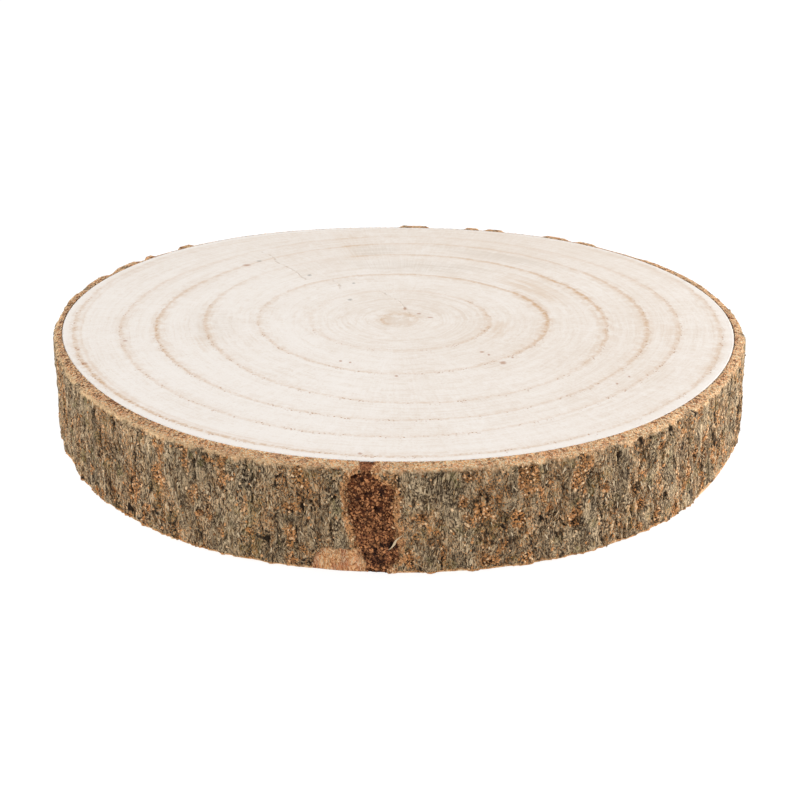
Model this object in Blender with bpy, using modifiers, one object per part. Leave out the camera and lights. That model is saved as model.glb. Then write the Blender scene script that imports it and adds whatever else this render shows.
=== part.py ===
"""A slice sawn across a young, pale, fast-grown stem with its bark still on.

The slice is one natural piece: the wood and its bark grew together. It lies on its underside, with
+Z up and the origin at the middle of that face. Everything is in metres and radians.
"""

import math

import bpy
from mathutils import Vector, noise

# Driving dimensions.
DIAMETER = 0.240
THICKNESS = 0.035
BARK = 0.0033
WOOD_RADIUS = DIAMETER / 2 - BARK

# Sanding the sawn faces wears the bark's edges away: a wide slope on top, a slight one below.
RIM_DROP = 0.0017
FOOT_RISE = 0.0006

# Mesh divisions round the stem and down the bark's wall, and the angle that counts as an edge.
SEGMENTS = 240
WALL_STEPS = 9
CREASE = math.radians(40)

# How the stem departs from a circle: lobes round it, their share of the size, degrees to the first.
OUTLINE_LOBES = ((2, 0.0135, -35), (3, 0.0163, 28), (4, 0.0041, -40), (6, 0.0035, 0))
BARK_LOBES = ((2, 0.09, 20), (5, 0.10, 48), (11, 0.07, 9))
RIM_LOBES = ((3, 0.22, 95), (7, 0.20, 12), (16, 0.16, 5))

# The bark's coarse relief. Its furrows run up the stem, so it changes faster round it than up it.
RELIEF = 0.00055
FURROW_WIDTH = 0.0075
FURROW_LENGTH = 0.030

# Where a side shoot died: a scar of rotten cork through the whole height, sunk in the bark.
SCAR_ANGLE = math.radians(266)
SCAR_HALF_WIDTH = 0.0078
SCAR_DEPTH = 0.0019
SCAR_EDGE = 0.0030

# Where the outer bark has flaked off above the foot, and where the saw broke the bark's foot away.
FLAKE_FROM, FLAKE_TO = math.radians(257.6), math.radians(265.5)
FLAKE_HEIGHT = 0.0076
FLAKE_DEPTH = 0.0014
BREAK_FROM, BREAK_TO = math.radians(326), math.radians(347)
BREAK_RISE = 0.0021
LOSS_EDGE = 0.0022

NODE = "wood_slice"


def lobed(angle, lobes):
    """A factor round 1 that swells towards each lobe."""
    return 1 + sum(
        share * math.cos(count * (angle - math.radians(first))) for count, share, first in lobes
    )


def wood_radius(angle):
    """Where the wood ends and the bark begins."""
    return WOOD_RADIUS * lobed(angle, OUTLINE_LOBES)


def ramp(value, start, end):
    """0 up to start, 1 from end on, and smooth between."""
    share = min(1, max(0, (value - start) / (end - start)))
    return share * share * (3 - 2 * share)


def within(angle, first, last):
    """1 between two angles round the stem, falling to 0 over LOSS_EDGE outside them."""
    edge = LOSS_EDGE / (DIAMETER / 2)
    turn = angle % math.tau
    return ramp(turn, first - edge, first) * (1 - ramp(turn, last, last + edge))


def relief(angle, height):
    """The bark's ridges and furrows, as a distance outwards."""
    round_stem = DIAMETER / 2 / FURROW_WIDTH
    place = Vector(
        (math.cos(angle) * round_stem, math.sin(angle) * round_stem, height / FURROW_LENGTH)
    )
    return RELIEF * (noise.noise(place) + noise.noise(2 * place) / 2)


def scar_depth(angle):
    turn = (angle - SCAR_ANGLE + math.pi) % math.tau - math.pi
    off_middle = abs(turn) * DIAMETER / 2
    return SCAR_DEPTH * (1 - ramp(off_middle, SCAR_HALF_WIDTH - SCAR_EDGE, SCAR_HALF_WIDTH))


def flake_depth(angle, height):
    near_foot = 1 - ramp(height, FLAKE_HEIGHT - LOSS_EDGE / 2, FLAKE_HEIGHT + LOSS_EDGE / 2)
    return FLAKE_DEPTH * near_foot * within(angle, FLAKE_FROM, FLAKE_TO)


def rim_height(angle):
    """The top edge of the bark's wall."""
    return THICKNESS - RIM_DROP * lobed(angle, RIM_LOBES)


def foot_height(angle):
    """The bottom edge of the bark's wall."""
    return FOOT_RISE + BREAK_RISE * within(angle, BREAK_FROM, BREAK_TO)


def half_section():
    """(radius, height) from the top face's middle, over the rim, down the bark, to the underside's."""
    top, foot = THICKNESS - RIM_DROP, FOOT_RISE
    wall = [
        (DIAMETER / 2, top + (foot - top) * step / WALL_STEPS) for step in range(WALL_STEPS + 1)
    ]
    return [(0, THICKNESS), (WOOD_RADIUS, THICKNESS), *wall, (WOOD_RADIUS, 0), (0, 0)]


def turned_blank():
    """The slice as a plain turned disc, before it gets the stem's own shape."""
    section = half_section()
    mesh = bpy.data.meshes.new("half_section")
    edges = [(i, i + 1) for i in range(len(section) - 1)]
    mesh.from_pydata([(radius, 0, height) for radius, height in section], edges, [])
    profile = bpy.data.objects.new("half_section", mesh)
    bpy.context.scene.collection.objects.link(profile)
    turn = profile.modifiers.new("turn", "SCREW")
    turn.steps = turn.render_steps = SEGMENTS
    turn.use_merge_vertices = True
    turn.merge_threshold = 0.00001
    graph = bpy.context.evaluated_depsgraph_get()
    blank = bpy.data.meshes.new_from_object(profile.evaluated_get(graph))
    bpy.data.objects.remove(profile)
    blank.name = NODE
    return blank


def on_stem(point):
    """Where a point of the plain disc lies on the real stem."""
    angle = math.atan2(point.y, point.x)
    radius = math.hypot(point.x, point.y)
    height = point.z
    if radius < WOOD_RADIUS + BARK / 2:
        radius *= wood_radius(angle) / WOOD_RADIUS
    else:
        up_wall = (height - FOOT_RISE) / (THICKNESS - RIM_DROP - FOOT_RISE)
        foot = foot_height(angle)
        height = foot + up_wall * (rim_height(angle) - foot)
        radius = wood_radius(angle) + BARK * lobed(angle, BARK_LOBES) + relief(angle, height)
        radius -= max(scar_depth(angle), flake_depth(angle, height))
    return Vector((radius * math.cos(angle), radius * math.sin(angle), height))


def centred(points):
    """The same points, with the middle of their box on the Z axis."""
    middle = [(min(p[i] for p in points) + max(p[i] for p in points)) / 2 for i in (0, 1)]
    return [p - Vector((*middle, 0)) for p in points]


def finish(name, colour, roughness):
    material = bpy.data.materials.new(name)
    material.use_nodes = True
    shader = material.node_tree.nodes["Principled BSDF"]
    shader.inputs["Base Color"].default_value = (*colour, 1)
    shader.inputs["Roughness"].default_value = roughness
    shader.inputs["Metallic"].default_value = 0
    return material


def wood_slice(collection):
    mesh = turned_blank()
    places = centred([on_stem(vertex.co) for vertex in mesh.vertices])
    for vertex, place in zip(mesh.vertices, places):
        vertex.co = place
    mesh.update()
    mesh.materials.append(finish("pale_end_grain", (0.84, 0.77, 0.69), 0.75))
    mesh.materials.append(finish("grey_brown_bark", (0.19, 0.14, 0.09), 0.95))
    for face in mesh.polygons:
        sawn = abs(face.normal.z) > math.cos(math.radians(1))
        face.material_index = 0 if sawn else 1
        face.use_smooth = not sawn
    mesh.set_sharp_from_angle(angle=CREASE)
    piece = bpy.data.objects.new(NODE, mesh)
    collection.objects.link(piece)


def main():
    for leftover in list(bpy.data.objects):
        bpy.data.objects.remove(leftover)
    collection = bpy.data.collections.new("wood_slice_with_bark")
    bpy.context.scene.collection.children.link(collection)
    wood_slice(collection)


main()
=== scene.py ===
"""The looks of a slice of pale, wide-ringed wood with its bark on.

The wood and the bark grew as one piece. They are two meshes here, because the eye meets them as two
surfaces: smooth end grain, and a rough ring of bark round it. Lengths are in millimetres where a
name or a tree says so, and in metres on the finished meshes.
"""

import math

import bpy
import numpy as np
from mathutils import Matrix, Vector, noise


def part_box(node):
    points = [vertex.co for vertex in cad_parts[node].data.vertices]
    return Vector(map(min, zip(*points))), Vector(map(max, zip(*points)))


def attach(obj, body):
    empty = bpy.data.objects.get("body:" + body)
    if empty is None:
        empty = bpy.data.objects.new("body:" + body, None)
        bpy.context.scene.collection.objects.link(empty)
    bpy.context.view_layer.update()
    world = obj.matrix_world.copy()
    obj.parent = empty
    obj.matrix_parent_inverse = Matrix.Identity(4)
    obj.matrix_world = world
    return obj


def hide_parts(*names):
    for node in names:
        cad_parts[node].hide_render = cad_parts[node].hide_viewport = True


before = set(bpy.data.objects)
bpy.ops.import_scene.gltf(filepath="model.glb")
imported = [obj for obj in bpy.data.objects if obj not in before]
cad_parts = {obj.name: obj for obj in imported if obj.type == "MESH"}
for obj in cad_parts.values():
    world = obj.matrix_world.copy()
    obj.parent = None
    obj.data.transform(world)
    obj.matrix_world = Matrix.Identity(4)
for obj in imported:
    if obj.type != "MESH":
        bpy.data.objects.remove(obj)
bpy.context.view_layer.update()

# ---------------------------------------------------------------------------------------------
# The camera. It stands in front of the slice, on the side with the scar, and looks down on it
# at a low angle through a long lens.

MM = 0.001
CAMERA_AIM = Vector((1.4, -25.6, 17.5)) * MM
CAMERA_DISTANCE = 616 * MM
CAMERA_RISE = math.radians(22.7)
CAMERA_LENS = 81.2
CAMERA_SENSOR = 36
NEAREST_SEEN = 10 * MM


def placed(name, data):
    """A new object in the scene."""
    thing = bpy.data.objects.new(name, data)
    bpy.context.scene.collection.objects.link(thing)
    return thing


camera = placed("camera", bpy.data.cameras.new("camera"))
bpy.context.scene.camera = camera
camera.data.lens = CAMERA_LENS
camera.data.sensor_width = CAMERA_SENSOR
camera.data.clip_start = NEAREST_SEEN
towards_camera = Vector((0, -math.cos(CAMERA_RISE), math.sin(CAMERA_RISE)))
camera.location = CAMERA_AIM + CAMERA_DISTANCE * towards_camera
camera.rotation_euler = (math.pi / 2 - CAMERA_RISE, 0, 0)

# ---------------------------------------------------------------------------------------------
# The wood: end grain of a stem that grew fast for seven years, sawn across and sanded flat. Each
# year ends in a thin tan line with open pores past it, and the outermost wood is the palest.

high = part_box("wood_slice")[1]
PITH = Vector((0.7, 7.6, 0)) * MM
EDGE_ROUND = 0.35 * MM
OUTER_WIDTH = 15
FAULT_HEADING = math.radians(105.5)
DISC_COLUMNS = 400
DISC_ROWS = 81

# How far the wood reaches past the solid's rim, in millimetres, at even steps from the right round
# by the back.
EDGE_SHIFT = (0.3, 0.8, 0.1, 0.1, 0.2, -0.55, -0.85, -0.4)

# Each year's end, from the pith, in millimetres, at even steps from the right round by the back,
# and how strongly its line shows there.
YEARS = (
    ((6.7, 5.6, 4.7, 5.2, 5.8, 6.6, 7.3, 7.2), (0.5, 0.8, 0.5, 0.6, 0.7, 0.8, 0.4, 0.4)),
    ((32.5, 30.8, 30.5, 30.8, 31.2, 31.7, 32.5, 33.0), (0.55, 0.35, 0.25, 0.2, 0.2, 0.3, 0.25, 0.5)),
    ((53.0, 49.6, 48.9, 50.0, 49.5, 50.0, 52.8, 52.8), (1.0, 0.9, 0.8, 0.45, 0.3, 0.55, 0.45, 0.6)),
    ((73.3, 71.7, 72.8, 71.2, 68.3, 70.0, 77.5, 77.2), (0.85, 1.0, 0.45, 0.2, 0.5, 0.5, 0.5, 0.45)),
    ((87.8, 87.0, 87.0, 83.3, 85.0, 86.3, 91.3, 89.2), (0.75, 0.5, 0.5, 0.45, 0.75, 0.6, 0.4, 0.5)),
    ((99.0, 96.7, 96.2, 95.0, 97.2, 99.5, 103.8, 98.7), (0.5, 0.3, 0.25, 0.25, 0.38, 0.45, 0.4, 0.4)),
    ((113.0, 110.0, 106.0, 113.0, 114.2, 114.2, 118.3, 115.8), (0.5, 0.15, 0.1, 0.15, 0.5, 1.0, 0.7, 0.5)),
)

# Tonal patches: degrees and millimetres from the pith, half their size round and across, strength.
ORANGE_PATCHES = (
    (75, 5.5, 4.5, 2.2, 0.8), (33, 59, 18, 7, 0.8), (342, 37, 9, 4.5, 0.7), (200, 72, 9, 2.5, 0.5),
    (352, 92, 8, 8, 0.4),
)
GREY_PATCHES = ((82, 58, 26, 7, 0.6), (60, 80, 30, 5, 0.5), (185, 66, 20, 8, 0.25), (97, 79, 9, 7, 0.7))

# Specks, in millimetres on the top face: place, and half their size across and away.
GREY_SPECKS = (
    (-32.9, 55.1, 0.9, 1.2), (-16.8, 27.4, 0.9, 1.2), (-15.9, 45.8, 0.7, 1.0), (-53.1, 72.1, 1.2, 0.9),
)
BROWN_SPECKS = (
    (-57.6, 67.1, 1.7, 1.3), (-92.9, -14.7, 0.9, 0.9), (-107.6, -23.2, 0.6, 0.8),
    (-103.4, -36.2, 1.1, 1.2), (-10.4, -108.4, 0.8, 0.8), (76.2, -47.6, 0.5, 0.8),
    (71.6, -53.7, 0.5, 0.8), (0.2, -47.1, 0.7, 0.9), (29.1, -25.4, 0.9, 0.9), (31.3, -28.0, 0.5, 0.9),
    (35.7, -35.4, 1.2, 1.6), (39.1, -30.4, 0.5, 0.9), (-18.4, -33.7, 0.6, 0.9), (-15.2, -35.0, 0.5, 0.8),
    (3.2, 17.9, 0.7, 1.8), (8.2, 12.4, 0.9, 0.9), (12.2, 8.6, 1.1, 0.7),
)

# A hairline check in three lengths, which steps sideways along two of the year lines.
CHECK = (
    ((5.0, 11.4), (3.2, 18.0), (0.8, 26.2), (-6.0, 36.4)),
    ((-20.8, 39.6), (-21.8, 46.4), (-25.0, 50.2)),
    ((-34.2, 49.6), (-38.6, 59.8), (-46.0, 70.4), (-49.4, 79.6), (-53.6, 84.6)),
)


class Wire:
    """One output of a node. Arithmetic on wires adds Math nodes to the wire's own tree."""

    def __init__(self, tree, output):
        self.tree = tree
        self.output = output

    def math(self, operation, *others):
        return self.tree.node("ShaderNodeMath", {"operation": operation}, dict(enumerate((self, *others))))

    def __add__(self, other):
        return self.math("ADD", other)

    def __sub__(self, other):
        return self.math("SUBTRACT", other)

    def __rsub__(self, other):
        return self.tree.node("ShaderNodeMath", {"operation": "SUBTRACT"}, {0: other, 1: self})

    def __mul__(self, other):
        return self.math("MULTIPLY", other)

    def __truediv__(self, other):
        return self.math("DIVIDE", other)

    def __rtruediv__(self, other):
        return self.tree.node("ShaderNodeMath", {"operation": "DIVIDE"}, {0: other, 1: self})

    def __abs__(self):
        return self.math("ABSOLUTE")

    __radd__ = __add__
    __rmul__ = __mul__

    def vector(self, operation, *others, **sockets):
        """Vector Math with this wire first."""
        values = {**dict(enumerate((self, *others))), **sockets}
        output = "Value" if operation in ("LENGTH", "DOT_PRODUCT", "DISTANCE") else "Vector"
        return self.tree.node("ShaderNodeVectorMath", {"operation": operation}, values, output)

    def stretched(self, x, y, z):
        return self.vector("MULTIPLY", (x, y, z))

    def twin(self, name):
        """Another output of the node that this wire comes from."""
        return Wire(self.tree, Tree.pick(self.output.node.outputs, name))

    def ramp(self, start, end):
        """0 at start, 1 at end, smooth between and flat beyond. It falls where start is above end."""
        sockets = {"Value": self, "From Min": start, "From Max": end}
        return self.tree.node("ShaderNodeMapRange", {"interpolation_type": "SMOOTHSTEP"}, sockets)


class Tree:
    """A shader or Geometry Nodes tree that is built by calls."""

    def __init__(self, tree):
        self.tree = tree
        tree.nodes.clear()

    def node(self, kind, settings=None, sockets=None, output=0):
        """Adds a node: its settings first, then the value or the wire of each of its sockets."""
        node = self.tree.nodes.new(kind)
        for name, value in (settings or {}).items():
            setattr(node, name, value)
        for name, value in (sockets or {}).items():
            socket = self.pick(node.inputs, name)
            if isinstance(value, Wire):
                self.tree.links.new(value.output, socket)
            else:
                socket.default_value = value
        return Wire(self, self.pick(node.outputs, output) if node.outputs else None)

    @staticmethod
    def pick(sockets, name):
        """A node's socket by number, or the first one in use that has the name."""
        if isinstance(name, int):
            return sockets[name]
        return next(socket for socket in sockets if socket.name == name and socket.enabled)

    def mix(self, share, first, second):
        sockets = {"Factor": share, "A": first, "B": second}
        return self.node("ShaderNodeMix", {"data_type": "RGBA"}, sockets, "Result")

    def noise(self, place, scale, detail=2.0, roughness=0.5, output=0):
        sockets = {"Vector": place, "Scale": scale, "Detail": detail, "Roughness": roughness}
        return self.node("ShaderNodeTexNoise", None, sockets, output)

    def cells(self, place, scale, feature="F1", output="Distance"):
        sockets = {"Vector": place, "Scale": scale}
        return self.node("ShaderNodeTexVoronoi", {"feature": feature}, sockets, output)

    def wandering(self, place, scale, detail, reach):
        """A vector that changes smoothly from place to place, about half of reach either way."""
        centred = self.noise(place, scale, detail, output=1).vector("SUBTRACT", (0.5, 0.5, 0.5))
        return centred.vector("SCALE", Scale=reach)

    def chance(self, least, most, seed):
        """A random number or vector for each point."""
        kind = "FLOAT" if isinstance(least, float) else "FLOAT_VECTOR"
        sockets = {"Min": least, "Max": most, "Seed": seed}
        return self.node("FunctionNodeRandomValue", {"data_type": kind}, sockets, "Value")

    def attribute(self, name):
        if self.tree.type == "GEOMETRY":
            return self.node("GeometryNodeInputNamedAttribute", None, {"Name": name}, "Attribute")
        return self.node("ShaderNodeAttribute", {"attribute_name": name}, None, "Fac")

    def axes(self, vector):
        return [self.node("ShaderNodeSeparateXYZ", None, {"Vector": vector}, axis) for axis in "XYZ"]

    def point(self, x, y, z):
        return self.node("ShaderNodeCombineXYZ", None, {"X": x, "Y": y, "Z": z})

    def surface(self, base, roughness, lift):
        """Ends a material: its colour, its roughness, and fine relief in millimetres."""
        sockets = {"Height": lift, "Distance": MM, "Strength": 1.0}
        bump = self.node("ShaderNodeBump", None, sockets)
        sockets = {"Base Color": base, "Roughness": roughness, "Normal": bump, "Specular IOR Level": 0.25}
        shader = self.node("ShaderNodeBsdfPrincipled", None, sockets)
        self.node("ShaderNodeOutputMaterial", None, {"Surface": shader})

    def inputs(self, sizes):
        """Gives a Geometry Nodes tree its geometry sockets and one named input for each size."""
        sockets = self.tree.interface
        sockets.new_socket("Geometry", in_out="INPUT", socket_type="NodeSocketGeometry")
        sockets.new_socket("Geometry", in_out="OUTPUT", socket_type="NodeSocketGeometry")
        for name in sizes:
            sockets.new_socket(name, in_out="INPUT", socket_type="NodeSocketFloat")
        start = self.tree.nodes.new("NodeGroupInput")
        self.geometry = Wire(self, start.outputs["Geometry"])
        return {name: Wire(self, start.outputs[name]) for name in sizes}

    def finish(self, shape, material):
        """Ends a Geometry Nodes tree: real geometry, none of it below the table, with its material."""
        real = self.node("GeometryNodeRealizeInstances", None, {"Geometry": shape})
        x, y, z = self.axes(self.node("GeometryNodeInputPosition"))
        rested = self.point(x, y, z.math("MAXIMUM", 0))
        real = self.node("GeometryNodeSetPosition", None, {"Geometry": real, "Position": rested})
        dressed = self.node("GeometryNodeSetMaterial", None, {"Geometry": real, "Material": material})
        self.node("NodeGroupOutput", None, {"Geometry": dressed})
        return self.tree

    def place_mm(self):
        """Where on the object a point lies, in millimetres."""
        if self.tree.type == "GEOMETRY":
            place = self.node("GeometryNodeInputPosition")
        else:
            place = self.node("ShaderNodeTexCoord", None, None, "Object")
        return place.vector("SCALE", Scale=1 / MM)


def new_finish(name):
    """A new material, and the tree that it is built in."""
    material = bpy.data.materials.new(name)
    material.use_nodes = True
    return material, Tree(material.node_tree)


def colour(red, green, blue):
    """A display colour, 0 to 255, as a linear one."""
    shares = [value / 255 for value in (red, green, blue)]
    return (*[s / 12.92 if s <= 0.04045 else ((s + 0.055) / 1.055) ** 2.4 for s in shares], 1)


PALEST_WOOD = colour(246, 239, 232)
WARMEST_WOOD = colour(230, 216, 202)
YEAR_LINE = colour(212, 178, 144)
FAULT_WOOD = colour(218, 190, 160)
ORANGE_WOOD = colour(224, 202, 180)
GREY_WOOD = colour(219, 207, 194)
PORE = colour(178, 126, 82)
GREY_SPECK = colour(120, 118, 112)
BROWN_SPECK = colour(168, 106, 60)
# The check's colour is painted shade in the crack.
CHECK_SHADE = colour(190, 164, 138)
SAW_MARK = colour(222, 206, 188)


def round_stem(samples, angle):
    """Smoothly through samples that are taken at even steps round the stem."""
    waves = np.fft.rfft(samples) / len(samples)
    total = waves[0].real + waves[-1].real * np.cos((len(waves) - 1) * angle)
    for count in range(1, len(waves) - 1):
        total = total + 2 * (waves[count] * np.exp(1j * count * angle)).real
    return total


def lattice(name, places, closed_ends):
    """A mesh through rows of points round the stem: places[row, column]. Its two ends close on
    middle points, or else the last row joins the first."""
    rows, columns = places.shape[:2]
    index = np.arange(rows * columns).reshape(rows, columns)
    onward = np.roll(index, -1, 1)
    points = places.reshape(-1, 3)
    lower = np.arange(1, rows) if closed_ends else np.arange(rows)
    quads = np.stack([index[lower - 1], index[lower], onward[lower], onward[lower - 1]], -1).reshape(-1, 4)
    faces = quads.tolist()
    if closed_ends:
        middles = len(points), len(points) + 1
        points = np.concatenate([points, places[:1].mean(1), places[-1:].mean(1)])
        faces += [(middles[0], a, b) for a, b in zip(index[0].tolist(), onward[0].tolist())]
        faces += [(middles[1], b, a) for a, b in zip(index[-1].tolist(), onward[-1].tolist())]
    mesh = bpy.data.meshes.new(name)
    mesh.from_pydata(points.tolist(), [], faces)
    mesh.shade_smooth()
    return placed(name, mesh)


def store(piece, **values):
    """Gives a mesh named numbers, one for each vertex."""
    for name, numbers in values.items():
        layer = piece.data.attributes.new(name, "FLOAT", "POINT")
        layer.data.foreach_set("value", np.asarray(numbers, np.float32).ravel())


def vertex_places(piece):
    places = np.empty(len(piece.data.vertices) * 3, np.float32)
    piece.data.vertices.foreach_get("co", places)
    return places.reshape(-1, 3).astype(float)


# The slice's own solid says where the wood ends: at the rim of its flat top face.
solid = vertex_places(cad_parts["wood_slice"])
on_rim = (solid[:, 2] > high.z - 0.1 * MM) & (np.hypot(solid[:, 0], solid[:, 1]) > high.x / 2)
rim_angles = np.arctan2(solid[on_rim, 1], solid[on_rim, 0])
rim_radii = np.hypot(solid[on_rim, 0], solid[on_rim, 1])


def solid_edge(angle):
    return np.interp(angle, rim_angles, rim_radii, period=math.tau)


def wood_edge(angle):
    return solid_edge(angle) + round_stem(EDGE_SHIFT, angle) * MM


def ring_of(angle, radius, height):
    """A row of points round the stem."""
    heights = np.broadcast_to(height, angle.shape)
    return np.stack([radius * np.cos(angle), radius * np.sin(angle), heights], -1)


def wood_disc():
    """Rows from the middle of the top, over the edge, down the side and in to the middle below."""
    angle = np.arange(DISC_COLUMNS) * math.tau / DISC_COLUMNS
    flat = wood_edge(angle) - EDGE_ROUND
    shares = [*np.linspace(0, 1, DISC_ROWS)[1:-1], 0.998]
    top = [ring_of(angle, share * flat, high.z) for share in shares]
    for bend in np.radians((90, 60, 30, 0)):
        drop = EDGE_ROUND * (1 - math.sin(bend))
        top.append(ring_of(angle, flat + EDGE_ROUND * math.cos(bend), high.z - drop))
    below = [row * (1, 1, -1) + (0, 0, high.z) for row in reversed(top)]
    return lattice("wood", np.array(top + below), closed_ends=True)


def years_at(places):
    """For each point: years grown from the pith, that year's width in millimetres, and the strength
    of the nearest year's line."""
    off_pith = (places - PITH)[:, :2] / MM
    reach, heading = np.hypot(*off_pith.T), np.arctan2(off_pith[:, 1], off_pith[:, 0])
    ends = [0 * reach] + [round_stem(radii, heading) for radii, _ in YEARS]
    ends.append(ends[-1] + OUTER_WIDTH)
    widths = np.diff(ends, axis=0)
    grown = sum(np.clip((reach - start) / width, 0, 1) for start, width in zip(ends, widths))
    year = np.minimum(grown.astype(int), len(widths) - 1)
    nearest = np.clip(np.rint(grown).astype(int), 1, len(YEARS)) - 1
    strengths = np.array([round_stem(strong, heading) for _, strong in YEARS])
    everywhere = np.arange(len(places))
    return grown, widths[year, everywhere], strengths[nearest, everywhere]


def beside(path, places):
    """How far a point lies to the left of a path, in millimetres, or far off past its ends."""
    spots = places[:, :2] / MM
    nearest = np.full(len(spots), 1e6)
    side = nearest.copy()
    for start, end in zip(np.array(path), np.array(path)[1:]):
        run = end - start
        share = ((spots - start) @ run) / (run @ run)
        distance = np.hypot(*(spots - start - np.clip(share, 0, 1)[:, None] * run).T)
        across = ((spots - start) @ (-run[1], run[0])) / math.hypot(*run)
        past_end = np.abs(share - 0.5) > 0.6
        closer = distance < nearest
        nearest[closer] = distance[closer]
        side[closer] = np.where(past_end, 50, across)[closer]
    return side


def wood_finish():
    material, tree = new_finish("end_grain")
    place = tree.place_mm()
    x, y, z = tree.axes(place)
    off_pith = tree.point(x - PITH.x / MM, y - PITH.y / MM, 0)
    heading = off_pith.vector("NORMALIZE")
    turn_x, turn_y, _ = tree.axes(heading)
    width = tree.attribute("year_width")
    strength = tree.attribute("year_strength")
    upper = z.ramp(17, 18)

    # The years: each line darkens slowly towards its year's end, stops short past it, and fades to
    # dashes at the front. At the two sides it blurs into a warm band.
    fuzz = tree.noise(place, 1 / 0.8, 3, 0.7)
    mottle = tree.noise(place, 1 / 3, 3, 0.6)
    wander = (tree.noise(place, 1 / 9) - 0.5) * 0.09 + (tree.noise(place, 1 / 1.2, 2) - 0.5) * 0.035
    grown = tree.attribute("years_grown") + wander
    nearest = grown.math("ROUND").math("MAXIMUM", 1)
    past = (grown - nearest) * width + (fuzz - 0.5) * 1.6
    late = past.ramp(-1.7, -0.1) * past.ramp(0.9, 0.1)
    at_sides = abs(turn_x).ramp(0.6, 1.0)
    whole = turn_y.ramp(-0.9, -0.1) * 0.3 + 0.12
    broken = tree.noise(place, 1 / 1.3, 3).ramp(0.36, 0.6)
    line = late * (broken * (1 - whole) + whole) * 0.62
    line = line + past.ramp(-5, 0) * past.ramp(1.2, 0) * mottle.ramp(0.2, 0.7) * 0.25
    line = line + past.ramp(-5, -0.5) * past.ramp(3.5, 0.5) * mottle.ramp(0.36, 0.66) * at_sides * 0.35
    twin_line = abs(past + 2.6).ramp(0.8, 0.1) * grown.ramp(6.4, 6.6) * turn_x.ramp(0.3, -0.6)
    line = line * strength + twin_line * 0.14

    # Fine streaks and faint rings that follow the years, and rays that cross them.
    streaks = tree.noise(tree.point(turn_x * 3, turn_y * 3, grown * 11), 1, 4, 0.6)
    ring_place = tree.point(turn_x * 0.9, turn_y * 0.9, grown * 6)
    faint_rings = abs(tree.noise(ring_place, 1, 2) - 0.5).ramp(0.05, 0.0) * mottle.ramp(0.35, 0.6)
    core_rings = tree.noise(tree.point(turn_x * 0.5, turn_y * 0.5, grown * 15), 1, 1) - 0.5
    rays = tree.noise(tree.point(turn_x * 110, turn_y * 110, grown * 1.2), 1, 2)
    cloud = tree.noise(place.stretched(1, 1, 0.3), 1 / 26, 2)

    shade = (cloud - 0.5) * 0.7 + (streaks - 0.5) * 0.9 + (rays - 0.5) * 0.5 + (fuzz - 0.5) * 1.0
    shade = shade + (mottle - 0.5) * 0.6 + faint_rings * 0.28 + 0.14
    shade = shade + x.ramp(-70, 90) * 0.32 + y.ramp(20, 110) * 0.25 + y.ramp(-110, -20) * 0.12
    shade = shade + grown.ramp(2.2, 0.6) * 0.1 + abs(core_rings) * grown.ramp(2.4, 1.7) * 1.9
    shade = shade + grown.ramp(1.15, 0.8) * mottle.ramp(0.4, 0.58) * 0.7 - grown.ramp(7.0, 7.2) * 0.3
    base = tree.mix(shade.ramp(-0.1, 1.3), PALEST_WOOD, WARMEST_WOOD)

    # The growth stopped short behind the pith: past that line the years are darker.
    off_x, off_y = math.sin(FAULT_HEADING), -math.cos(FAULT_HEADING)
    ahead = x * off_x + y * off_y - (PITH.x * off_x + PITH.y * off_y) / MM
    reach = off_pith.vector("LENGTH")
    fault = ahead.ramp(0, 0.9) * ahead.ramp(19, 4) * reach.ramp(64, 71) * reach.ramp(107, 99)
    fault = fault * y.ramp(0, 20)
    base = tree.mix(fault * (0.1 + line * 1.5 + (rays - 0.4) * 0.3), base, FAULT_WOOD)

    for patches, tint in ((ORANGE_PATCHES, ORANGE_WOOD), (GREY_PATCHES, GREY_WOOD)):
        for degrees, far, half_round, half_across, strong in patches:
            along = Vector((math.cos(math.radians(degrees)), math.sin(math.radians(degrees)), 0))
            middle = PITH / MM + far * along
            spot = tree.point(x - middle.x, y - middle.y, 0)
            across = spot.vector("DOT_PRODUCT", along) / half_across
            sideways = spot.vector("DOT_PRODUCT", (-along.y, along.x, 0)) / half_round
            nearness = (across * across + sideways * sideways).ramp(1.7, 0.1)
            base = tree.mix(nearness * strong * (rays * 0.5 + streaks).ramp(0.5, 1.0), base, tint)

    base = tree.mix(line, base, YEAR_LINE)

    # Open pores past each line, most of them in the front half.
    dots = tree.cells(place.stretched(1, 1, 0.4), 1 / 1.1).ramp(0.4, 0.12)
    crowd = tree.noise(place, 1 / 4, 2).ramp(0.42, 0.58)
    by_line = past.ramp(-0.9, 0.0) * past.ramp(1.8, 0.3) * strength.ramp(0.1, 0.4)
    pores = dots * crowd * (by_line * 0.85 + 0.1) * y.ramp(80, -10)
    base = tree.mix(pores * grown.ramp(1.3, 2), base, PORE)

    for specks, strong, tint in ((GREY_SPECKS, 0.5, GREY_SPECK), (BROWN_SPECKS, 0.6, BROWN_SPECK)):
        marks = 0
        for mark_x, mark_y, half_x, half_y in specks:
            spot = tree.point((x - mark_x) / half_x, (y - mark_y) / half_y, 0)
            mark = (spot.vector("LENGTH") + (fuzz - 0.5) * 1.2).ramp(1.25, 0.35)
            marks = mark.math("MAXIMUM", marks)
        base = tree.mix(marks * upper * strong, base, tint)

    # The hairline check: a darker line that is painted shade in the crack, over a slight dip in the relief.
    open_here = tree.noise(place, 1 / 2.5, 2).ramp(0.35, 0.62) * 0.8
    wobble = (tree.noise(place, 1 / 2.2, 2) - 0.5) * 2.2
    check = abs(tree.attribute("beside_check") + wobble).ramp(0.6, 0.05) * open_here * upper
    base = tree.mix(check * (reach.ramp(8, 40) * 0.36 + 0.22), base, CHECK_SHADE)

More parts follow.
